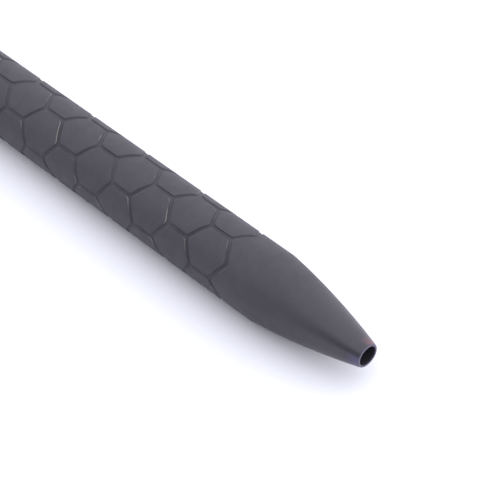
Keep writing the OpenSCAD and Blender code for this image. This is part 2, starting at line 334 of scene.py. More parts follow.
def is_inside(u, v, loop):
    inside = False
    for (u1, v1, _), (u2, v2, _) in zip(loop, loop[1:] + loop[:1]):
        if (v1 > v) != (v2 > v) and u < (u2 - u1) * (v - v1) / (v2 - v1) + u1:
            inside = not inside
    return inside


def fill_between(mesh, outer, holes, loose=()):
    """Triangles between an outer loop and its holes. Points are (u, v, vertex); loose ones lie inside."""
    points, edges = [], []
    for loop in [outer, *holes]:
        base = len(points)
        edges += [(base + i, base + (i + 1) % len(loop)) for i in range(len(loop))]
        points += loop
    points += loose
    made = geometry.delaunay_2d_cdt([Vector(p[:2]) for p in points], edges, [], 0, 1e-6)
    for face in made[2]:
        corners = [points[made[3][i][0]] for i in face]
        u, v = (sum(c[axis] for c in corners) / 3 for axis in (0, 1))
        if is_inside(u, v, outer) and not any(is_inside(u, v, hole) for hole in holes):
            mesh.faces.new([c[2] for c in corners])


def wear_edges(mesh, sharpest=14, fullest=38, widest=0.12):
    """Marks vertices on outward edges as worn, more where the edge is sharper.

    Grooves, the rim, and vertices of faces with a large area are left, so that wear stays near the edge.
    """
    wear_and_glint = mesh.verts.layers.float.get("wear_and_glint") or mesh.verts.layers.float.new("wear_and_glint")
    groove = mesh.verts.layers.float.get("groove")
    for edge in mesh.edges:
        if len(edge.link_faces) != 2 or not edge.is_convex:
            continue
        share = (degrees(edge.calc_face_angle()) - sharpest) / (fullest - sharpest)
        for vertex in edge.verts:
            is_kept_clean = vertex.co.x > NOSE_X - 1 or (groove and vertex[groove] > 0)
            if share > 0 and not is_kept_clean and max(f.calc_area() for f in vertex.link_faces) < widest:
                vertex[wear_and_glint] = max(vertex[wear_and_glint], min(1, share))


def finish_piece(name, mesh, body, nodes, slot, material=None, sharp=32, worn=False):
    """Makes a mesh in millimetres a piece. Its material is named as the slot, unless another is given."""
    bmesh.ops.remove_doubles(mesh, verts=mesh.verts, dist=SAME_PLACE)
    loose = [vertex for vertex in mesh.verts if not vertex.link_faces]
    bmesh.ops.delete(mesh, geom=loose, context="VERTS")
    face_outwards(mesh)
    if mesh.calc_volume(signed=True) < 0:
        bmesh.ops.reverse_faces(mesh, faces=mesh.faces)
    if worn:
        wear_edges(mesh)
    for vertex in mesh.verts:
        vertex.co *= MM
    piece = add_mesh_object(name, mesh)
    piece.data.shade_smooth()
    piece.data.set_sharp_from_angle(angle=radians(sharp))
    piece.data.materials.append(materials[material or slot])
    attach(piece, body)
    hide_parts(*nodes)
    return piece


# ---- Materials ----

class Shading:
    """The nodes of a material or world. Every method below set adds nodes and returns an output."""

    def __init__(self, owner, shader):
        owner.use_nodes = True
        self.tree = owner.node_tree
        self.inputs = self.tree.nodes[shader].inputs

    def feed(self, socket, value):
        """Links an output to a socket, or sets the socket to a number, a vector or a colour."""
        if isinstance(value, bpy.types.NodeSocket):
            self.tree.links.new(value, socket)
        else:
            socket.default_value = (*value, 1) if socket.type == "RGBA" else value

    def set(self, name, value):
        self.feed(self.inputs[name], value)

    def add(self, kind, output, inputs, **settings):
        made = self.tree.nodes.new("ShaderNode" + kind)
        for key, value in settings.items():
            setattr(made, key, value)
        for key, value in inputs.items():
            self.feed(made.inputs[key], value)
        return made.outputs[output]

    def coords(self, kind="Object"):
        return self.add("TexCoord", kind, {})

    def mark(self, name):
        """A value that the mesh keeps for each vertex."""
        return self.add("Attribute", "Fac", {}, attribute_name=name)

    def noise(self, size, detail=3.0):
        """Noise whose lumps are about size millimetres across."""
        inputs = {"Vector": self.coords(), "Scale": 1 / (size * MM), "Detail": detail, "Roughness": 0.6}
        return self.add("TexNoise", "Fac", inputs)

    def spread(self, value, low, high, from_low=0.3, from_high=0.7):
        """Maps a value, by default a noise's, to the range from low to high."""
        names = "Value", "From Min", "From Max", "To Min", "To Max"
        return self.add("MapRange", "Result", dict(zip(names, (value, from_low, from_high, low, high))))

    def mix(self, share, first, second):
        return self.add("Mix", 2, {0: share, 6: first, 7: second}, data_type="RGBA")

    def cloudy(self, size, base, dark, light):
        """Wanders between a darker and a lighter tone of a colour, in patches of a size."""
        return self.mix(self.spread(self.noise(size), 0, 1), *tones(base, dark, light))

    def multiply(self, first, second):
        return self.add("Math", 0, {0: first, 1: second}, operation="MULTIPLY")

    def axis(self, coords, name):
        """One axis of a kind of coordinates."""
        return self.add("SeparateXYZ", name, {"Vector": self.coords(coords)})

    def toward(self, coords, direction):
        """How far the coordinates reach in a direction."""
        inputs = {0: self.coords(coords), 1: direction}
        return self.add("VectorMath", "Value", inputs, operation="DOT_PRODUCT")

    def bump(self, size, height, normal=None):
        """Lumps of a size and height in millimetres, on top of another bump."""
        inputs = {"Strength": 1.0, "Distance": height * MM, "Height": self.noise(size)}
        return self.add("Bump", "Normal", {**inputs, "Normal": normal} if normal else inputs)


materials = {}


def new_material(name, base, roughness, metallic=1.0):
    """Keeps a new material by its name, and returns its nodes."""
    materials[name] = bpy.data.materials.new(name)
    look = Shading(materials[name], "Principled BSDF")
    look.set("Base Color", base)
    look.set("Roughness", roughness)
    look.set("Metallic", metallic)
    return look


def tones(base, *shares):
    return [tuple(min(1, c * share) for c in base) for share in shares]


def add_grain(look, bump, size, low, high):
    """A bump, and roughness that wanders from low to high in patches twelve times the grain's size."""
    look.set("Normal", bump)
    look.set("Roughness", look.spread(look.noise(size * 12), low, high))


DARK = (0.0525, 0.048, 0.0595)
METAL_SHARE = 0.3
# Colour of rubbed edges, also used as a painted glint on the groove walls that face the lamp
WORN_EDGE_AND_GLINT = (0.34, 0.31, 0.275)
# Share of the base colour for the painted shade in the grooves
GROOVE_SHADE = 0.74
# Share of the base colour for the painted shade inside the bore
BORE_SHADE = 0.85
TINT_BLUE = (0.075, 0.072, 0.15)
TINT_ROSE = (0.16, 0.085, 0.1)
# Painted highlight: a lilac ring, lighter than the metal, on the rounded rim
PAINTED_RIM_HIGHLIGHT = (0.09, 0.08, 0.125)
TINT_ANGLE = 50.0  # the direction of the rose side
# How far towards the rose side a tint begins and is full, and how far behind the mouth it reaches
TINTS = [(TINT_BLUE, -0.35, -1.1, 1.7), (TINT_ROSE, 0.95, 1.5, 1.5)]


def blasted_metal(name, base, tint_at_mouth=False):
    """Dark bead-blasted metal: fine grain, cloudy colour, rubbed edges, painted glints, and painted shade
    in grooves and bore.
    """
    look = new_material(name, base, 0.6, METAL_SHARE)
    color = look.mix(0.5, look.cloudy(2.4, base, 0.92, 1.08), look.cloudy(0.16, base, 0.84, 1.16))
    patches = look.spread(look.noise(2.6, detail=1), 0.06, 0.9, 0.5, 0.63)
    # Wear on edges, and a painted glint on the groove walls that face the lamp
    color = look.mix(look.multiply(look.mark("wear_and_glint"), patches), color, WORN_EDGE_AND_GLINT)
    # Painted shade: the grooves are darkened towards GROOVE_SHADE of the base colour, in patches
    groove_shade_patches = look.spread(look.noise(5, detail=1), 0.05, 0.9, 0.4, 0.65)
    color = look.mix(look.multiply(look.mark("groove"), groove_shade_patches), color, *tones(base, GROOVE_SHADE))
    if tint_at_mouth:
        color = tint_mouth(look, color)
    # Painted shade: the inside of the bore is darkened
    look.set("Base Color", look.mix(look.mark("bore"), color, *tones(base, BORE_SHADE)))
    add_grain(look, look.bump(0.35, 0.006, look.bump(0.11, 0.007)), 0.11, 0.54, 0.66)
    if tint_at_mouth:
        polish_nose(look)


def along_nose(look, begin, full, low=0, high=1):
    """Goes from low to high between two distances behind the mouth, the further one first."""
    return look.spread(look.axis("Object", "X"), low, high, (NOSE_X - begin) * MM, (NOSE_X - full) * MM)


def tint_mouth(look, color):
    """Heat colours on the end of the nose: blue low on one side, rose high on the other, and a painted
    lilac highlight round the rim.
    """
    turn = radians(TINT_ANGLE)
    rose_side = Vector((0, sin(turn), cos(turn)))
    middle = rose_side.dot(Vector((0, AXIS_Y, AXIS_Z)))
    blotches = look.spread(look.noise(0.7), 0.45, 1)
    for tint, begin, full, reach in TINTS:
        side = look.toward("Object", rose_side)
        share = look.spread(side, 0, 1, (middle + begin) * MM, (middle + full) * MM)
        share = look.multiply(share, along_nose(look, reach, 0.3))
        color = look.mix(look.multiply(share, blotches), color, tint)
    # Painted highlight: a lilac ring round the rim
    return look.mix(along_nose(look, 0.1, 0.03), color, PAINTED_RIM_HIGHLIGHT)


def polish_nose(look):
    """The finish gets a little smoother towards the mouth."""
    rough = look.inputs["Roughness"].links[0].from_socket
    look.set("Roughness", look.multiply(rough, along_nose(look, 11, 1, 1, 0.5)))


def turned_metal(name, base, roughness, grain=0.05):
    """Bright turned or drawn metal with fine marks."""
    look = new_material(name, base, roughness)
    look.set("Anisotropic", 0.5)
    look.set("Base Color", look.cloudy(0.9, base, 0.9, 1.06))
    add_grain(look, look.bump(grain, 0.0015), grain, roughness * 0.85, roughness * 1.2)


def soft_plastic(name, base, roughness, grain=0.12):
    """Rubber, plastic, grease or ink."""
    look = new_material(name, base, roughness, 0.0)
    look.set("Base Color", look.cloudy(0.8, base, 0.85, 1.15))
    add_grain(look, look.bump(grain, 0.003), grain, roughness * 0.9, roughness * 1.1)


blasted_metal("barrel_metal", DARK, tint_at_mouth=True)
blasted_metal("cap_metal", DARK)
blasted_metal("clip_metal", *tones(DARK, 0.9))
blasted_metal("knob_metal", DARK)
turned_metal("screw_steel", (0.36, 0.36, 0.37), 0.32)
turned_metal("stem_steel", (0.42, 0.42, 0.43), 0.3)
turned_metal("spring_steel", (0.62, 0.62, 0.63), 0.2)
turned_metal("refill_steel", (0.62, 0.62, 0.64), 0.26)
turned_metal("plunger_brass", (0.5, 0.36, 0.15), 0.36)
turned_metal("tip_metal", (0.68, 0.62, 0.48), 0.2)
turned_metal("ball_metal", (0.56, 0.56, 0.57), 0.12, grain=0.03)
soft_plastic("seal_rubber", (0.022, 0.022, 0.023), 0.6)
soft_plastic("plug_plastic", (0.03, 0.03, 0.034), 0.45)
soft_plastic("ink_paste", (0.01, 0.012, 0.06), 0.2)
soft_plastic("follower_grease", (0.7, 0.6, 0.36), 0.25)


# ---- Barrel ----

def taper_radius(station):
    """An arc from the rim to the shoulder, run softly into the straight barrel."""
    rise, run = BARREL_R - RIM_R, TAPER_LEN
    start = atan2(rise, run) + asin(hypot(rise, run) / 2 / TAPER_BULGE_R)
    centre_s, centre_r = TAPER_BULGE_R * sin(start), RIM_R - TAPER_BULGE_R * cos(start)
    arc = centre_r + sqrt(TAPER_BULGE_R ** 2 - (station - centre_s) ** 2)
    gap = BARREL_R - arc if station < TAPER_LEN + 1 else -1
    return BARREL_R - (gap + sqrt(gap * gap + 4 * SHOULDER_BLEND ** 2)) / 2


def nose_outline():
    """From the mouth's bore out over the rounded rim and along the taper to the smooth band."""
    outline = [(MOUTH_CHAMFER, MOUTH_R), (MOUTH_CHAMFER * 0.4, MOUTH_R + MOUTH_CHAMFER * 0.25),
               (0, MOUTH_R + MOUTH_CHAMFER)]
    slope = atan2(taper_radius(0.3) - taper_radius(0), 0.3)
    for turn in steps(0, pi / 2 - slope, 6):
        outline.append((RIM_ROUND * (1 - cos(turn)), RIM_R - RIM_ROUND * (1 - sin(turn)) * 0.9))
    return outline + [(s, taper_radius(s)) for s in steps(0.35, HONEYCOMB_START - SMOOTH_BAND, 56)]


def spoke(angle, length=1):
    return Vector((cos(radians(angle)), sin(radians(angle)))) * length


def cell_offsets(inset):
    """Points of one hexagon inset from the grooves' middles: (sideways, along), with softened corners."""
    points = []
    for side in range(0, 360, 60):
        start, end = spoke(side - 30, CELL_SIDE), spoke(side + 30, CELL_SIDE)
        for i in range(SIDE_STEPS):
            point = start.lerp(end, i / SIDE_STEPS)
            if inset > 0:
                facing = [max(0, point.normalized().dot(spoke(60 * k))) for k in range(6)]
                soft = sum(f ** CORNER_POWER for f in facing) ** (1 / CORNER_POWER)
                share = min(1, inset / 0.2)
                reach = (CELL_APOTHEM - inset) / (max(facing) * (1 - share) + soft * share)
                point = point.normalized() * reach
            points.append(point)
    return points


def wear_and_glint_share(side, along):
    """How much wear and painted glint a cell's edge gets: a little everywhere, most on the side towards
    the mouth and +Y, which faces the lamp, less on the one behind it.
    """
    most = 0.08
    for direction, share in ((-1, 1.0), (1, 0.4)):
        facing = (side * 0.5 + direction * along * sin(radians(60))) / CELL_APOTHEM
        most = max(most, share * min(1, (facing - 0.75) / 0.2))
    return most


def add_groove_vertex(mesh, layers, station, angle, depth, wear_and_glint):
    """A vertex at a share of the groove's depth. Its wear and painted glint value is kept for the upper
    part of the wall.
    """
    vertex = mesh.verts.new(place(station, BARREL_R - GROOVE_DEPTH * depth, angle))
    vertex[layers["groove"]] = depth
    vertex[layers["wear_and_glint"]] = wear_and_glint if 0.02 < depth < 0.3 else 0
    return vertex


def add_cell(mesh, layers, station, angle):
    """One hexagon: its half of the grooves round it, their walls, and the land in the middle."""
    rings = [(cell_offsets(inset), depth) for inset, depth in GROOVE_PROFILE]
    rings += [([point * scale for point in rings[-1][0]], 0) for scale in LAND_RINGS]
    loops = [[add_groove_vertex(mesh, layers, station + along, angle + degrees(side / BARREL_R), depth,
                                wear_and_glint_share(side, along)) for side, along in offsets]
             for offsets, depth in rings]
    join_in_turn(mesh, loops + [add_ring(mesh, station, BARREL_R, [angle])])


def add_honeycomb(mesh, layers):
    """Every cell. Returns the station where the last row ends."""
    first_row, row_pitch = HONEYCOMB_START + CELL_SIDE, 1.5 * CELL_SIDE
    for row in range(CELL_ROWS):
        for column in range(CELLS_AROUND):
            turn = CELL_PHASE + (2 * column + row % 2) * 180 / CELLS_AROUND
            add_cell(mesh, layers, first_row + row * row_pitch, turn)
    return first_row + (CELL_ROWS - 1) * row_pitch + CELL_SIDE


def add_zigzag_edge(mesh, tip_station, direction, layers):
    """The groove's outer half along the first or last row, run out to a plain ring."""
    def add_edge_ring(inset, share, depth):
        """Share is how far it has run out, from the zigzag to the plain ring."""
        ring = []
        for i, angle in enumerate(ring_angles()):
            rise = (i % (2 * SIDE_STEPS)) / SIDE_STEPS
            zigzag = inset / cos(radians(30)) - CELL_SIDE / 2 * min(rise, 2 - rise)
            station = tip_station + direction * (zigzag * (1 - share) + SMOOTH_BAND * share)
            ring.append(add_groove_vertex(mesh, layers, station, angle, depth, 0.3))
        return ring

    rings = [add_edge_ring(inset, 0, depth) for inset, depth in GROOVE_PROFILE]
    join_in_turn(mesh, rings + [add_edge_ring(GROOVE_HALF_W, share, 0) for share in (0.2, 0.45, 0.72, 1)])


def slot_route():
    """The slot's middle line as (station, angle): front seat, front pocket, straight run, rear pocket."""
    front, side = STEM_STATION - BOLT_TRAVEL, BOLT_ANGLE + BOLT_TURN
    return [(front + SEAT_LEN, side), (front, side), (front, BOLT_ANGLE), (STEM_STATION, BOLT_ANGLE),
            (STEM_STATION, side)]


def slot_point(middle, direction, half_w, radius):
    """A point of the slot's edge as (station, angle in radians), half_w from the middle in a direction."""
    return middle.x + direction.x * half_w, middle.y / BARREL_R + asin(direction.y * half_w / radius)


def is_on_edge(point, half_w, radius):
    """False where another stretch of the slot swallows the point."""
    for stretch in zip(slot_route(), slot_route()[1:]):
        (near_s, far_s), (near_a, far_a) = (sorted(values) for values in zip(*stretch))
        along = point[0] - min(max(point[0], near_s), far_s)
        across = radius * sin(point[1] - min(max(point[1], radians(near_a)), radians(far_a)))
        if hypot(along, across) < half_w - 1e-4:
            return False
    return True


def slot_edge_points():
    """Points round the slot as (middle, direction): an edge is at middle + direction x half width."""
    route = [Vector((s, radians(a) * BARREL_R)) for s, a in slot_route()]
    there_and_back = route + route[-2::-1] + route[1:2]
    points = []
    for start, end, after in zip(there_and_back, there_and_back[1:], there_and_back[2:]):
        along, following = (end - start).normalized(), (after - end).normalized()
        normal = Vector((-along.y, along.x))
        count = max(2, round((end - start).length / SLOT_STEP))
        points += [(start.lerp(end, share), normal) for share in steps(0, 1, count)]
        turn = atan2(normal.dot(following), along.dot(following))
        if pi - abs(turn) < 1e-6:  # a turn back at either end
            turn = -pi
        if turn < 0:
            turns = steps(0, turn, round(-turn / radians(9)))[1:-1]
            points += [(end, normal * cos(t) - along * sin(t)) for t in turns]
    sizes = (SLOT_HALF_W + SLOT_EDGE[0][0], BARREL_R), (SLOT_HALF_W, MAIN_BORE_R)
    return [p for p in points if all(is_on_edge(slot_point(*p, *size), *size) for size in sizes)]


class Tube:
    """Rings of equal point count at a list of stations, with windows left open and filled round holes."""

    def __init__(self, mesh, stations, radius):
        self.mesh, self.stations = mesh, stations
        self.rings = [add_ring(mesh, station, radius) for station in stations]
        self.open = [set() for _ in stations]

    def fill_window(self, loop):
        """Opens the smallest block of quads that holds a hole's loop, and fills the space between them."""
        low_s, low_arc = (min(p[axis] for p in loop) - WINDOW_MARGIN for axis in (0, 1))
        high_s, high_arc = (max(p[axis] for p in loop) + WINDOW_MARGIN for axis in (0, 1))
        first = max(i for i, s in enumerate(self.stations) if s <= low_s)
        last = min(i for i, s in enumerate(self.stations) if s >= high_s)
        zero, step = (radians(angle) * BARREL_R for angle in (CELL_PHASE, 360 / AROUND))
        left, right = floor((low_arc - zero) / step), ceil((high_arc - zero) / step)

        def point(row, column):
            return self.stations[row], zero + column * step, self.rings[row][column % AROUND]

        def is_clear(p):
            return not is_inside(*p[:2], loop) and all(dist(p[:2], q[:2]) >= WINDOW_GAP for q in loop)

        for row in range(first, last):
            self.open[row].update(column % AROUND for column in range(left, right))
        edge = [point(first, c) for c in range(left, right)]
        edge += [point(r, right) for r in range(first, last)]
        edge += [point(last, c) for c in range(right, left, -1)]
        edge += [point(r, left) for r in range(last, first, -1)]
        inner = [point(r, c) for r in range(first + 1, last) for c in range(left + 1, right)]
        fill_between(self.mesh, edge, [loop], [p for p in inner if is_clear(p)])

    def close(self):
        for first, second, skip in zip(self.rings, self.rings[1:], self.open):
            join_rings(self.mesh, first, second, skip)


def cut_slot(mesh, outer, bore, layers):
    """The bolt's slot, with a rounded outer edge."""
    edge_points = slot_edge_points()
    loops = []
    for out, radius in [*((out, BARREL_R - down) for out, down in SLOT_EDGE), (0, MAIN_BORE_R)]:
        places = [slot_point(*point, SLOT_HALF_W + out, radius) for point in edge_points]
        loops.append([(station, turn * BARREL_R, mesh.verts.new(place(station, radius, degrees(turn))))
                      for station, turn in places])
    for _, _, vertex in loops[1]:
        vertex[layers["wear_and_glint"]] = 1.0
    outer.fill_window(loops[0])
    bore.fill_window(loops[-1])
    join_in_turn(mesh, [[point[2] for point in loop] for loop in loops])


def cut_clip_flat(mesh, outer):
    """The milled flat under the clip's foot, with its two end steps and screw holes."""
    half = degrees(acos(CLIP_FLAT_R / BARREL_R))
    along, across = steps(CLIP_FOOT_FRONT, CLIP_FOOT_END, 25), steps(-half, half, 12)
    places = [(along[0], turn) for turn in across[:-1]] + [(s, half) for s in along[:-1]]
    places += [(along[-1], turn) for turn in across[:0:-1]] + [(s, -half) for s in along[:0:-1]]
    loop, flat = [], []
    for station, turn in places:
        vertex = mesh.verts.new(place(station, BARREL_R, CLIP_ANGLE + turn))
        loop.append((station, radians(CLIP_ANGLE + turn) * BARREL_R, vertex))
        sideways = BARREL_R * sin(radians(turn))
        if half - abs(turn) > 1e-6:
            vertex = mesh.verts.new(from_angle(CLIP_ANGLE, CLIP_FLAT_R, sideways, station))
        flat.append((station, sideways, vertex))
    outer.fill_window(loop)
    join_rings(mesh, [p[2] for p in loop], [p[2] for p in flat])
    holes = []
    for station in CLIP_SCREWS.values():
        put, angles = spoke_place(station, CLIP_ANGLE), ring_angles(24, 0)
        outline = (CLIP_FLAT_R, SCREW_R), (CLIP_FLAT_R - SCREW_BITE, SCREW_R)
        top, bottom = revolve(mesh, outline, angles, put=put)
        mesh.faces.new(bottom)
        holes.append([(NOSE_X - vertex.co.x, SCREW_R * sin(radians(angle)), vertex)
                      for angle, vertex in zip(angles, top)])
    fill_between(mesh, flat, holes)


def add_thread(mesh, first, last, flat_r, ridge_r, pitch, angles, put=place, hand=1):
    """A helical thread: rings a ninth of a pitch apart, whose ridge turns as they advance."""
    per_turn = 9
    count = round(abs(last - first) / pitch * per_turn)
    rows = []
    for k, along in enumerate(steps(first, last, count)):
        fade = min(1, k / per_turn, (count - k) / per_turn)
        rows.append([])
        for i, angle in enumerate(angles):
            phase = (hand * along / pitch - i / len(angles)) % 1
            ridge = min(1, max(0, 1.5 - abs(phase - 0.5) * 4)) * fade
            rows[-1].append(mesh.verts.new(put(along, flat_r + (ridge_r - flat_r) * ridge, angle)))
    join_in_turn(mesh, rows)
    return rows


def join_runs(mesh, *runs):
    """Joins runs of rings end to end."""
    for first, second in zip(runs, runs[1:]):
        join_rings(mesh, first[-1], second[0])


def threaded(before, thread, after, count=AROUND, start=CELL_PHASE, put=place, hand=1):
    """A new mesh that is an outline, a thread (what add_thread takes) and another outline, end to end."""
    mesh, angles = bmesh.new(), ring_angles(count, start)
    join_runs(mesh, revolve(mesh, before, angles, put=put), add_thread(mesh, *thread, angles, put, hand),
              revolve(mesh, after, angles, put=put))
    return mesh


def make_barrel():
    mesh = bmesh.new()
    layers = {name: mesh.verts.layers.float.new(name) for name in ("groove", "wear_and_glint", "bore")}
    revolve(mesh, nose_outline())
    honeycomb_end = add_honeycomb(mesh, layers)
    add_zigzag_edge(mesh, HONEYCOMB_START, -1, layers)
    add_zigzag_edge(mesh, honeycomb_end, 1, layers)

    outer = Tube(mesh, steps(honeycomb_end + SMOOTH_BAND, BARREL_LEN - JOINT_CHAMFER, 84), BARREL_R)
    bore = Tube(mesh, steps(SPRING_BORE_END + BORE_STEP, MAIN_BORE_END, 150), MAIN_BORE_R)
    cut_slot(mesh, outer, bore, layers)
    cut_clip_flat(mesh, outer)
    outer.close()
    bore.close()

    inner = revolve(mesh, [
        (MOUTH_CHAMFER, MOUTH_R), (0.3, MOUTH_R), (MOUTH_LEN - 0.1, MOUTH_R), (MOUTH_LEN, MOUTH_R + 0.1),
        (MOUTH_LEN, SPRING_BORE_R - 0.15), (MOUTH_LEN + 0.15, SPRING_BORE_R),
        (SPRING_BORE_END, SPRING_BORE_R), (SPRING_BORE_END + BORE_STEP, MAIN_BORE_R)])
    thread = add_thread(mesh, MAIN_BORE_END + 0.4, THREAD_END, THREAD_ROOT_R + THREAD_FIT,
                        THREAD_CREST_R + THREAD_FIT + 0.01, THREAD_PITCH, ring_angles())
    seal = revolve(mesh, [(BARREL_LEN - 1.6, SEAL_BORE_R), (BARREL_LEN - 0.1, SEAL_BORE_R),
                          (BARREL_LEN, SEAL_BORE_R + 0.08), (BARREL_LEN, BARREL_R - JOINT_CHAMFER)])
    for ring in [*inner[1:], *bore.rings, *thread, *seal[:2]]:
        for vertex in ring:
            vertex[layers["bore"]] = 1.0
    join_runs(mesh, bore.rings, thread, seal, outer.rings[-1:])
    finish_piece("barrel_shell", mesh, "barrel", ["barrel"], "barrel_metal", worn=True)


# ---- Pocket clip and its screws ----

def ease(share):
    share = min(1, max(0, share))
    return share * share * (3 - 2 * share)


def clip_middle(station):
    """Distance from the axis to the middle of the strip: raised lip, dip to the barrel, arm, then foot."""
    lip_end, arm_start = CLIP_FRONT + 4.1, CLIP_FRONT + 8
    arm_end, foot_start = CLIP_FOOT_FRONT - 3, CLIP_FOOT_FRONT + 0.25
    lip, arm, foot = CLIP_LIP_R - 0.38, BARREL_R + 1 + CLIP_T / 2, CLIP_FLAT_R + CLIP_T / 2
    dip = BARREL_R + 0.12 + CLIP_T / 2
    if station < lip_end:
        return dip + (lip - dip) * ((lip_end - station) / (lip_end - CLIP_FRONT)) ** 1.8
    if station < arm_end:
        return dip + (arm - dip) * ease((station - lip_end) / (arm_start - lip_end))
    return arm + (foot - arm) * ease((station - arm_end) / (foot_start - arm_end))


def clip_section(station, inset, half_w):
    """Points of the strip: a rectangle with rounded edges, square to the strip's middle line."""
    slope = atan2(clip_middle(station + 0.05) - clip_middle(station - 0.05), 0.1)
    edge = max(0.03, CLIP_EDGE - inset * 0.6)
    flat_w, half_t = half_w - inset - edge, CLIP_T / 2 - inset
    points = []
    for side, face, first in ((1, 1, 0), (-1, 1, 90), (-1, -1, 180), (1, -1, 270)):
        for turn in steps(radians(first), radians(first + 90), 4):
            points.append((side * flat_w + edge * cos(turn), face * (half_t - edge) + edge * sin(turn)))
        if side == face:
            points += [(face * share * flat_w, face * half_t) for share in steps(1, -1, 10)[1:-1]]
    return [from_angle(CLIP_ANGLE, clip_middle(station) + out * cos(slope), across,
                       station - out * sin(slope)) for across, out in points]


def clip_half_width(from_end, corner):
    """Half the strip's width, which rounds off over a corner's radius at either end."""
    past = max(0, corner - from_end)
    return CLIP_W / 2 - corner + sqrt(max(0, corner * corner - past * past))


def make_clip():
    places = [(s, 0, CLIP_W / 2) for s in steps(CLIP_FRONT + 1.35, CLIP_FOOT_END - 1.1, 150)]
    for end, into, corner in ((CLIP_FRONT + 0.3, 1, 0.45), (CLIP_FOOT_END, -1, 0.8)):
        for turn in steps(0, pi / 2, 4):
            inset, along = CLIP_EDGE * (1 - sin(turn)), CLIP_EDGE * (1 - cos(turn))
            places.append((end + into * along, inset, clip_half_width(along + 0.1, corner)))
        for along in (0.32, 0.42, 0.55, 0.7, 0.85):
            places.append((end + into * along, 0, clip_half_width(along, corner)))
    mesh = bmesh.new()
    rings = [[mesh.verts.new(point) for point in clip_section(*entry)] for entry in sorted(places)]
    join_solid(mesh, rings)
    face_outwards(mesh)
    wear_edges(mesh)
    hole_r, head_r, head_foot = SCREW_R + SCREW_FIT, SCREW_HEAD_R + SCREW_FIT, CLIP_TOP_R - SCREW_HEAD_T
    profile = [(CLIP_FLAT_R - 0.5, 0), (CLIP_FLAT_R - 0.5, hole_r), (head_foot, hole_r),
               (head_foot, head_r), (CLIP_TOP_R - 0.12, head_r), (CLIP_TOP_R, head_r + 0.12),
               (CLIP_TOP_R + 1, head_r + 1.12), (CLIP_TOP_R + 1, 0)]
    holes = bmesh.new()
    for station in CLIP_SCREWS.values():
        revolve(holes, profile, ring_angles(64, 1.3), put=spoke_place(station, CLIP_ANGLE))
    mesh = cut_from(mesh, [holes])
    finish_piece("clip_strip", mesh, "barrel", ["pocket_clip"], "clip_steel", "clip_metal")


def hexagon(radius):
    """The radius of a hexagon at any angle, by its corner radius."""
    apothem = radius * cos(radians(30))
    return lambda angle: apothem / cos(radians((angle % 60) - 30))


def make_clip_screw(name, station):
    """A low-head cap screw with a hexagon socket and a fine thread."""
    top, foot, neck = CLIP_TOP_R + SCREW_FIT, CLIP_FLAT_R - SCREW_BITE, CLIP_TOP_R - SCREW_HEAD_T
    tip = [(foot, 0), (foot, SCREW_R - 0.22), (foot + 0.12, SCREW_ROOT_R)]
    thread = foot + 0.14, neck - 0.12, SCREW_ROOT_R, SCREW_R, SCREW_PITCH
    head = soften([(neck, SCREW_R - 0.1), (neck, SCREW_HEAD_R), (top, SCREW_HEAD_R),
                   (top, HEX_R + 0.2)], 0.14)
    head += [(top, HEX_R + 0.1), (top - 0.09, hexagon(HEX_R)), (top - 0.8, hexagon(HEX_R)), (top - 0.9, 0)]
    mesh = threaded(tip, thread, head, 48, 0, spoke_place(station, CLIP_ANGLE), hand=-1)
    finish_piece(name + "_cap_screw", mesh, "barrel", [name], "screw_steel")


# ---- Tail cap ----

def make_tail_cap():
    plug = [(PLUG_FRONT, 0), (PLUG_FRONT, THREAD_ROOT_R - 0.3), (PLUG_FRONT + 0.1, THREAD_ROOT_R - 0.12),
            (PLUG_FRONT + 0.25, THREAD_ROOT_R)]
    thread = PLUG_FRONT + 0.3, THREAD_END, THREAD_ROOT_R, THREAD_CREST_R, THREAD_PITCH
    seat_r, flange_r = THREAD_ROOT_R - 0.15, SEAL_BORE_R - 0.05
    neck = [(THREAD_END + 0.1, THREAD_ROOT_R), (SEAL_FRONT, THREAD_ROOT_R), (SEAL_FRONT, seat_r),
            (SEAL_BACK, seat_r), (SEAL_BACK, flange_r), (BARREL_LEN, flange_r),
            (BARREL_LEN, BARREL_R - JOINT_CHAMFER), (BARREL_LEN + JOINT_CHAMFER, BARREL_R),
            (TOTAL_LEN - 2, BARREL_R)]
    dome = [(TOTAL_LEN - DOME_LEN * (1 - sin(t)), BARREL_R * cos(t) ** 0.55)
            for t in steps(0, radians(88), 22)]
    slot = slot_cutter(0, COIN_SLOT_HALF_W, TOTAL_LEN - COIN_SLOT_DEPTH, TOTAL_LEN + 1)
    mesh = cut_from(threaded(plug, thread, soften(neck, 0.05) + dome + [(TOTAL_LEN, 0)]), [slot])
    bmesh.ops.remove_doubles(mesh, verts=mesh.verts, dist=SAME_PLACE)
    face_outwards(mesh)
    dome_x = NOSE_X - TOTAL_LEN + DOME_LEN + 0.05
    slot_edges = [edge for edge in mesh.edges
                  if len(edge.link_faces) == 2 and edge.calc_face_angle() > radians(35)
                  and all(vertex.co.x < dome_x for vertex in edge.verts)]
    bmesh.ops.bevel(mesh, geom=slot_edges, offset=0.07, segments=2, profile=0.5, affect="EDGES",
                    clamp_overlap=True)
    finish_piece("cap_with_coin_slot", mesh, "cap", ["tail_cap"], "barrel_metal", "cap_metal", worn=True)


# ---- Bolt ----

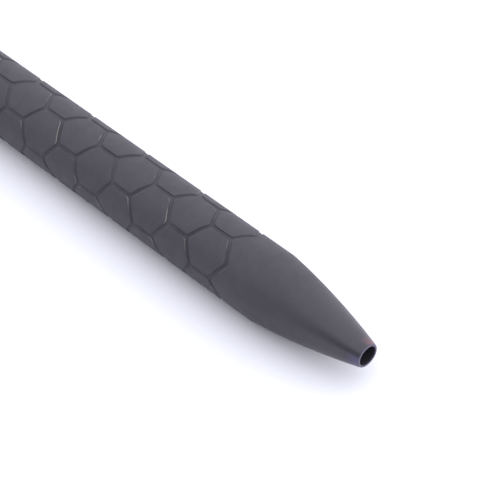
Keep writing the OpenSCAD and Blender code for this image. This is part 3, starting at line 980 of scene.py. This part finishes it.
def make_plunger():
    half_w, depth = PLUNGER_GROOVE
    outline = [(PLUNGER_FRONT, 0), (PLUNGER_FRONT, PLUNGER_R - PLUNGER_CHAMFER),
               (PLUNGER_FRONT + PLUNGER_CHAMFER, PLUNGER_R)]
    for middle in (PLUNGER_FRONT + PLUNGER_RING_OFFSET, PLUNGER_END - PLUNGER_RING_OFFSET):
        outline += ring_groove(middle - half_w, middle + half_w, PLUNGER_R, depth)
    outline += [(PLUNGER_END - PLUNGER_CHAMFER, PLUNGER_R), (PLUNGER_END, PLUNGER_R - PLUNGER_CHAMFER),
                (PLUNGER_END, 0)]
    hole = [(STEM_FOOT_R, 0), (STEM_FOOT_R, STEM_R), (PLUNGER_R - 0.2, STEM_R), (PLUNGER_R, STEM_R + 0.12),
            (PLUNGER_R + 1, STEM_R + 1), (PLUNGER_R + 1, 0)]
    hole = turned(hole, 48, put=spoke_place(STEM_STATION, BOLT_ANGLE))
    mesh = cut_from(turned(soften(outline, 0.05), 96), [hole])
    finish_piece("brass_plunger", mesh, "bolt", ["bolt_plunger"], "plunger_brass")


def make_stem():
    foot = [(STEM_FOOT_R, 0), (STEM_FOOT_R, STEM_R - 0.3), (STEM_FOOT_R + 0.15, STEM_ROOT_R)]
    thread = STEM_FOOT_R + 0.2, PLUNGER_R - 0.3, STEM_ROOT_R, STEM_R, STEM_PITCH
    pin = soften([(PLUNGER_R - 0.2, STEM_R), (KNOB_FOOT_R, STEM_R), (KNOB_FOOT_R, KNOB_BORE_R),
                  (KNOB_BORE_TOP, KNOB_BORE_R), (KNOB_BORE_TOP, 0.4)], 0.08) + [(KNOB_BORE_TOP, 0)]
    mesh = threaded(foot, thread, pin, 64, 0, spoke_place(STEM_STATION, BOLT_ANGLE), hand=-1)
    finish_piece("threaded_stem", mesh, "bolt", ["bolt_stem"], "stem_steel")


def make_knob():
    """Plain collar, narrow waist, grip with straight flutes, low dome."""
    def fluted(share):
        return lambda angle: KNOB_R - 0.13 * share * (0.5 + 0.5 * cos(radians(angle * FLUTES)))

    foot, top, waist_r = KNOB_FOOT_R, KNOB_TOP_R, KNOB_R - 0.3
    collar = soften([(foot, KNOB_BORE_R), (foot, KNOB_R - 0.04), (foot + 0.7, KNOB_R), (foot + 1, waist_r),
                     (foot + 1.25, waist_r), (foot + 1.45, KNOB_R - 0.08)], 0.12)
    grip = [(foot + 1.5, fluted(0.2)), (foot + 1.58, fluted(0.7)), (foot + 1.68, fluted(1)),
            (top - 0.75, fluted(1)), (top - 0.62, fluted(0.7)), (top - 0.52, fluted(0.2))]
    dome = [(top - 0.45 * (1 - sin(t)), (KNOB_R - 0.03) * cos(t) ** 0.5)
            for t in steps(radians(6), radians(87), 12)]
    outline = [(KNOB_BORE_TOP, 0), (KNOB_BORE_TOP, KNOB_BORE_R)] + collar + grip + dome + [(top, 0)]
    mesh = turned(outline, FLUTES * 8, 0, put=spoke_place(STEM_STATION, BOLT_ANGLE))
    finish_piece("fluted_knob", mesh, "bolt", ["bolt_knob"], "bolt_metal", "knob_metal", 40, worn=True)


# ---- Spring and refill ----

def ease_pitch(share, soft=0.1):
    """Rises from 0 to 1 at an even speed, apart from a soft share at either end."""
    share = min(1, max(0, share))
    if share > 0.5:
        return 1 - ease_pitch(1 - share, soft)
    return (share * share / soft / 2 if share < soft else share - soft / 2) / (1 - soft)


def spring_station(turns):
    """How far back the wire's middle is after some turns: closed at both ends, open between them."""
    first, last = MOUTH_LEN + SPRING_GAP + WIRE_R, SHOULDER - SPRING_GAP - WIRE_R
    open_rise = last - first - 4 * WIRE_R * CLOSED_TURNS
    closed = min(turns, CLOSED_TURNS) + max(0, turns - CLOSED_TURNS - OPEN_TURNS)
    return first + closed * 2 * WIRE_R + ease_pitch((turns - CLOSED_TURNS) / OPEN_TURNS) * open_rise


def make_spring():
    mesh = bmesh.new()
    per_turn, sides = 40, 12
    rings = []
    for k in range(round((OPEN_TURNS + 2 * CLOSED_TURNS) * per_turn) + 1):
        turns = k / per_turn
        pitch_slope = (spring_station(turns + 0.01) - spring_station(turns - 0.01)) / 0.02
        lean = atan2(pitch_slope, tau * SPRING_R)
        rings.append([])
        for side in steps(0, tau, sides)[:-1]:
            out, along = WIRE_R * cos(side), WIRE_R * sin(side)
            angle = turns * 360 - degrees(along * sin(lean) / SPRING_R)
            point = place(spring_station(turns) + along * cos(lean), SPRING_R + out, angle)
            rings[-1].append(mesh.verts.new(point))
    join_solid(mesh, rings)
    spring = finish_piece("coil_spring", mesh, "barrel", ["return_spring"], "spring_steel", sharp=50)
    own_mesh(spring)


def make_refill_tip():
    lip, ball, seat_r = BALL_FRONT + 0.35, BALL_FRONT + 0.5, 0.51
    outline = [(lip, 0.515), (lip + 0.2, 0.545), (lip + 2.2, TIP_R - 0.25), (lip + 2.4, TIP_R - 0.02),
               (lip + 3.4, TIP_R - 0.02), (lip + 3.5, TIP_R),
               *ring_groove(NECK_FRONT - 1.1, NECK_FRONT - 0.6, TIP_R, MARK_DEPTH, 0.1),
               (NECK_FRONT, TIP_R), (NECK_FRONT, STUB_R), (STUB_END, STUB_R), (STUB_END, INK_CHANNEL_R)]
    socket = [(ball - seat_r * cos(t), seat_r * sin(t)) for t in steps(radians(135), radians(70), 6)]
    mesh = turned(soften(outline, 0.06) + [(ball + 0.38, INK_CHANNEL_R)] + socket, 64, closed=True)
    finish_piece("turned_tip", mesh, "refill", ["refill_tip"], "tip_nickel_silver", "tip_metal")


def make_refill_neck():
    """A neck with a turned mark, and a boss that stands in the tube's end."""
    boss_back = TUBE_FACE_BACK + 2.5
    outline = [(NECK_FRONT, STUB_R), (NECK_FRONT, NECK_R),
               *ring_groove(SHOULDER - 0.9, SHOULDER - 0.5, NECK_R, MARK_DEPTH, 0.1),
               (TUBE_FACE_BACK, NECK_R), (TUBE_FACE_BACK, TUBE_BORE_R), (boss_back, TUBE_BORE_R),
               (boss_back, INK_CHANNEL_R), (STUB_END, INK_CHANNEL_R), (STUB_END, STUB_R)]
    mesh = turned(soften(outline + outline[:1], 0.08)[1:-1] + outline[:1], 72, closed=True)
    finish_piece("neck_and_boss", mesh, "refill", ["refill_neck"], "refill_steel")


def make_refill_tube():
    """Drawn tube with a rounded shoulder, crimped twice where it holds the end plug."""
    def crimp(station):
        dips = sum(exp(-((station - middle) / 0.22) ** 2) for middle in (TUBE_END - 1.9, TUBE_END - 1.1))
        return TUBE_R - 0.07 * dips

    corner, neck, end = (SHOULDER, TUBE_R), (SHOULDER, NECK_R), (TUBE_END, TUBE_R)
    outline = [neck] + rounded(corner, neck, end, 0.45, 6)
    outline += [(s, TUBE_R) for s in steps(SHOULDER + 1, TUBE_END - 3, 24)]
    outline += [(s, crimp(s)) for s in steps(TUBE_END - 2.8, TUBE_END - 0.05, 36)]
    outline += [(TUBE_END, TUBE_R - 0.05), (TUBE_END, TUBE_BORE_R), (TUBE_FACE_BACK + 0.3, TUBE_BORE_R),
                (TUBE_FACE_BACK, TUBE_BORE_R - 0.3), (TUBE_FACE_BACK, NECK_R)]
    mesh = turned(outline, 96, closed=True)
    finish_piece("drawn_tube", mesh, "refill", ["refill_tube"], "refill_steel")


def make_end_plug():
    """Moulded plug with a cross of slots in its head and an air hole."""
    head, grip, back = TUBE_END, TUBE_END - 3, REFILL_END - PLUNGER_CLEARANCE
    outline = [(grip, PLUG_HOLE_R), (grip, TUBE_BORE_R - 0.15), (grip + 0.4, TUBE_BORE_R),
               (head, TUBE_BORE_R), (head, TUBE_R), (back, TUBE_R), (back, PLUG_HOLE_R)]
    slots = [slot_cutter(angle, PLUG_SLOT_HALF_W, REFILL_END - PLUG_SLOT_DEPTH, REFILL_END + 1)
             for angle in (0, 90)]
    mesh = cut_from(turned(soften(outline, 0.12) + [(head, PLUG_HOLE_R)], 96, closed=True), slots)
    finish_piece("slotted_end_plug", mesh, "refill", ["refill_end_plug"], "plug_plastic")


def make_o_ring(piece, name, body):
    """A ring of round section, as thick and as big as its CAD node."""
    front, back = span(name)
    low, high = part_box(name)
    section_r = (back - front) / 2
    mean_r = (high.z - low.z) / MM / 2 - section_r
    mesh = turned([(front + section_r + section_r * cos(t), mean_r + section_r * sin(t))
                   for t in steps(0, tau, 24)[:-1]], 96, closed=True)
    finish_piece(piece, mesh, body, [name], "seal_rubber", sharp=60)


def make_ball():
    front, back = span("refill_ball")
    radius = (back - front) / 2
    arc = [(front + radius - radius * cos(t), radius * sin(t)) for t in steps(0, pi, 20)[1:-1]]
    mesh = turned([(front, 0)] + arc + [(back, 0)], 40)
    finish_piece("carbide_ball", mesh, "ball", ["refill_ball"], "ball_carbide", "ball_metal", 60)


def make_filling(piece, name, slot):
    """What fills the tube between two stations, with slightly rounded ends."""
    front, back = span(name)
    outline = [(front, 0), (front, TUBE_BORE_R), (back, TUBE_BORE_R), (back, 0)]
    finish_piece(piece, turned(soften(outline, 0.15), 96), "refill", [name], slot)


make_barrel()
make_clip()
for end_name, screw_station in CLIP_SCREWS.items():
    make_clip_screw("clip_screw_" + end_name, screw_station)
make_tail_cap()
make_plunger()
make_stem()
make_knob()
make_spring()
make_refill_tip()
make_refill_neck()
make_refill_tube()
make_end_plug()
make_o_ring("tail_cap_ring", "tail_cap_o_ring", "cap_seal")
make_o_ring("front_plunger_ring", "plunger_o_ring_front", "bolt")
make_o_ring("rear_plunger_ring", "plunger_o_ring_rear", "bolt")
make_ball()
make_filling("ink_column", "refill_ink", "ink_paste")
make_filling("grease_follower", "refill_follower", "follower_grease")

# ---- Camera, floor and light ----
CAMERA_AZIMUTH, CAMERA_ELEVATION = radians(45.885), radians(43.096)
CAMERA_DISTANCE = 260.0
CAMERA_LENS = 161.4
CAMERA_TARGET = Vector((NOSE_X - 21.38, AXIS_Y - 0.09, AXIS_Z + 4.3))
FLOOR_COLOR = (0.85, 0.85, 0.895)
LIGHT_PLACE, LIGHT_TARGET = Vector((0.1, 0.55, 0.5)), Vector((0.03, 0, 0))  # in metres
LIGHT_SIZE = (1.6, 1.3)
WORLD_COLOR = (0.93, 0.94, 1.0)
WORLD_STRENGTH = 1.64
DARK_SIDE = (0.2, -0.98, 0.0)  # the unlit side of the room, near the horizon
DARK_SIDE_SHARE = 0.06


def add_camera():
    camera = add_object("camera", bpy.data.cameras.new("camera"))
    camera.data.lens = CAMERA_LENS
    camera.data.sensor_width = 36
    camera.data.clip_start, camera.data.clip_end = 0.01, 10
    camera.rotation_euler = (pi / 2 - CAMERA_ELEVATION, 0, CAMERA_AZIMUTH)
    back = camera.rotation_euler.to_matrix() @ Vector((0, 0, CAMERA_DISTANCE))
    camera.location = (CAMERA_TARGET + back) * MM
    bpy.context.scene.camera = camera


def add_floor():
    mesh = bmesh.new()
    bmesh.ops.create_grid(mesh, x_segments=1, y_segments=1, size=3)
    ground = add_mesh_object("floor", mesh)
    new_material("floor", FLOOR_COLOR, 0.9, 0.0)
    ground.data.materials.append(materials["floor"])


def add_light():
    """A broad white lamp behind the pen, high on the +Y side."""
    lamp = add_object("key", bpy.data.lights.new("key", "AREA"))
    lamp.data.shape = "RECTANGLE"
    lamp.data.size, lamp.data.size_y = LIGHT_SIZE
    lamp.data.energy = 1.0
    lamp.location = LIGHT_PLACE
    lamp.rotation_mode = "QUATERNION"
    lamp.rotation_quaternion = (LIGHT_TARGET - LIGHT_PLACE).to_track_quat("-Z", "Y")


def add_world():
    """Even white light, with a soft dark stretch of the room low on one side."""
    world = bpy.data.worlds.new("world")
    look = Shading(world, "Background")
    look.set("Color", WORLD_COLOR)
    toward = look.spread(look.toward("Generated", DARK_SIDE), 0, 1, 0.35, 0.85)
    low = look.spread(look.axis("Generated", "Z"), 1, 0, 0.35, 0.72)
    dark = WORLD_STRENGTH * DARK_SIDE_SHARE
    look.set("Strength", look.spread(look.multiply(toward, low), WORLD_STRENGTH, dark, 0, 1))
    bpy.context.scene.world = world
    bpy.context.scene.view_settings.view_transform = "Standard"


add_camera()
add_floor()
add_light()
add_world()
